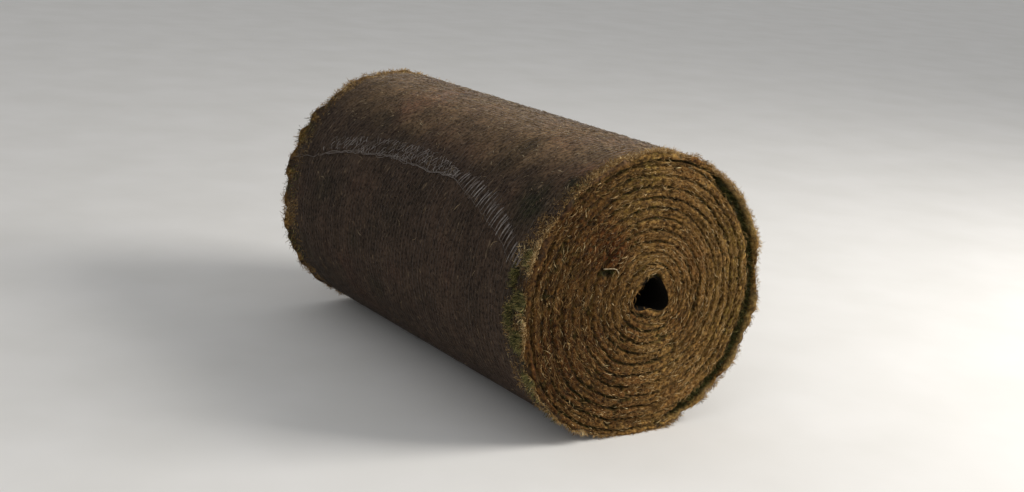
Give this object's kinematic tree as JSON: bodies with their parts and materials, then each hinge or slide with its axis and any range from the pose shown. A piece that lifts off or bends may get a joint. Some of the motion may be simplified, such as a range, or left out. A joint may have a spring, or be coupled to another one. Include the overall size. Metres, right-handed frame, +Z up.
{
  "type": "roll of turf",
  "caption": "Large roll of harvested turf wound soil side out, with an open bore through its middle and a fine net around it.",
  "frame": {"origin": "on the floor under the middle of the roll", "axes": "+X along the roll's axis, towards the end that the picture shows; +Z up"},
  "size_m": [1.22, 0.6755, 0.6743],
  "materials": {
    "turf": "matt fibrous soil and roots",
    "net": "thin knitted polyethylene net"
  },
  "bodies": {
    "root": {"turf_roll": "turf", "net_wrap": "net"}
  },
  "joints": []
}
